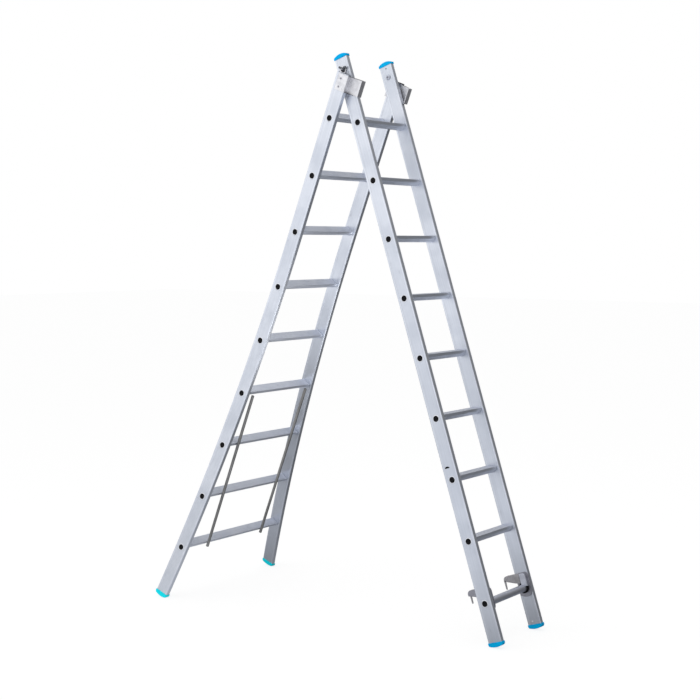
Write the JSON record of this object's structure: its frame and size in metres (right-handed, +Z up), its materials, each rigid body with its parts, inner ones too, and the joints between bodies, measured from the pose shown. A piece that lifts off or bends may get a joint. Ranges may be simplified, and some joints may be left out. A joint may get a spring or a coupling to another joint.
{
  "type": "extension ladder",
  "caption": "Two-section aluminium ladder standing as an A-frame: flared base section, narrower fly section pivoting at the top, swinging rung hooks, wing nuts and plastic feet.",
  "frame": {"origin": "on the floor, below the middle of the standing ladder's length", "axes": "+Z up, +Y along the rungs, +X from the base section's feet towards the fly section's feet"},
  "size_m": [1.663, 0.7712, 2.3556],
  "materials": {
    "stile_aluminium": "extruded aluminium, fine lengthwise die lines, satin",
    "rung_aluminium": "extruded aluminium with ribbed tread, satin",
    "rod_aluminium": "drawn tube, dull",
    "blue_plastic": "moulded plastic, bright blue, satin",
    "black_plastic": "moulded plastic, black",
    "zinc_steel": "zinc-plated pressed steel",
    "hook_steel": "dark plated pressed steel"
  },
  "bodies": {
    "base_section": {"base_stile_left": "stile_aluminium", "base_stile_right": "stile_aluminium", "base_rung_1": "rung_aluminium", "base_rung_2": "rung_aluminium", "base_rung_3": "rung_aluminium", "base_rung_4": "rung_aluminium", "base_rung_5": "rung_aluminium", "base_rung_6": "rung_aluminium", "base_rung_7": "rung_aluminium", "base_rung_8": "rung_aluminium", "base_rung_9": "rung_aluminium", "base_foot_left": "blue_plastic", "base_foot_right": "blue_plastic", "base_top_plug_left": "black_plastic", "base_top_plug_right": "black_plastic", "guide_rod_left": "rod_aluminium", "guide_rod_right": "rod_aluminium", "guide_bracket_left": "zinc_steel", "guide_bracket_right": "zinc_steel", "hinge_block_left": "zinc_steel", "hinge_block_right": "zinc_steel", "bracket_rivet_left_lower": "zinc_steel", "bracket_rivet_left_upper": "zinc_steel", "bracket_rivet_right_lower": "zinc_steel", "bracket_rivet_right_upper": "zinc_steel"},
    "fly_section": {"fly_stile_left": "stile_aluminium", "fly_stile_right": "stile_aluminium", "fly_rung_1": "rung_aluminium", "fly_rung_2": "rung_aluminium", "fly_rung_3": "rung_aluminium", "fly_rung_4": "rung_aluminium", "fly_rung_5": "rung_aluminium", "fly_rung_6": "rung_aluminium", "fly_rung_7": "rung_aluminium", "fly_rung_8": "rung_aluminium", "fly_rung_9": "rung_aluminium", "fly_foot_left": "blue_plastic", "fly_foot_right": "blue_plastic", "fly_top_cap_left": "blue_plastic", "fly_top_cap_right": "blue_plastic", "pivot_bolt_left": "zinc_steel", "pivot_bolt_right": "zinc_steel"},
    "hook_left": {"hook_left": "hook_steel", "hook_cover_left": "hook_steel", "hook_bush_left": "black_plastic"},
    "hook_right": {"hook_right": "hook_steel", "hook_cover_right": "hook_steel", "hook_bush_right": "black_plastic"},
    "wing_nut_left": {"wing_nut_left": "black_plastic"},
    "wing_nut_right": {"wing_nut_right": "black_plastic"}
  },
  "joints": [
    {"name": "a_frame_fold", "type": "hinge", "parent": "base_section", "child": "fly_section", "pos_m": [0.06196, 0, 2.2868], "axis": [0, 1, 0], "range_deg": [0, 17]},
    {"name": "hook_swing_left", "type": "hinge", "parent": "fly_section", "child": "hook_left", "pos_m": [0.75045, -0.1419, 0.16784], "axis": [0, 1, 0], "range_deg": [0, 95]},
    {"name": "hook_swing_right", "type": "hinge", "parent": "fly_section", "child": "hook_right", "pos_m": [0.75045, 0.1419, 0.16784], "axis": [0, 1, 0], "range_deg": [0, 95]},
    {"name": "wing_nut_turn_left", "type": "hinge", "parent": "fly_section", "child": "wing_nut_left", "pos_m": [0.06196, -0.1785, 2.2868], "axis": [0, -1, 0], "continuous": true},
    {"name": "wing_nut_turn_right", "type": "hinge", "parent": "fly_section", "child": "wing_nut_right", "pos_m": [0.06196, 0.1785, 2.2868], "axis": [0, 1, 0], "continuous": true}
  ]
}
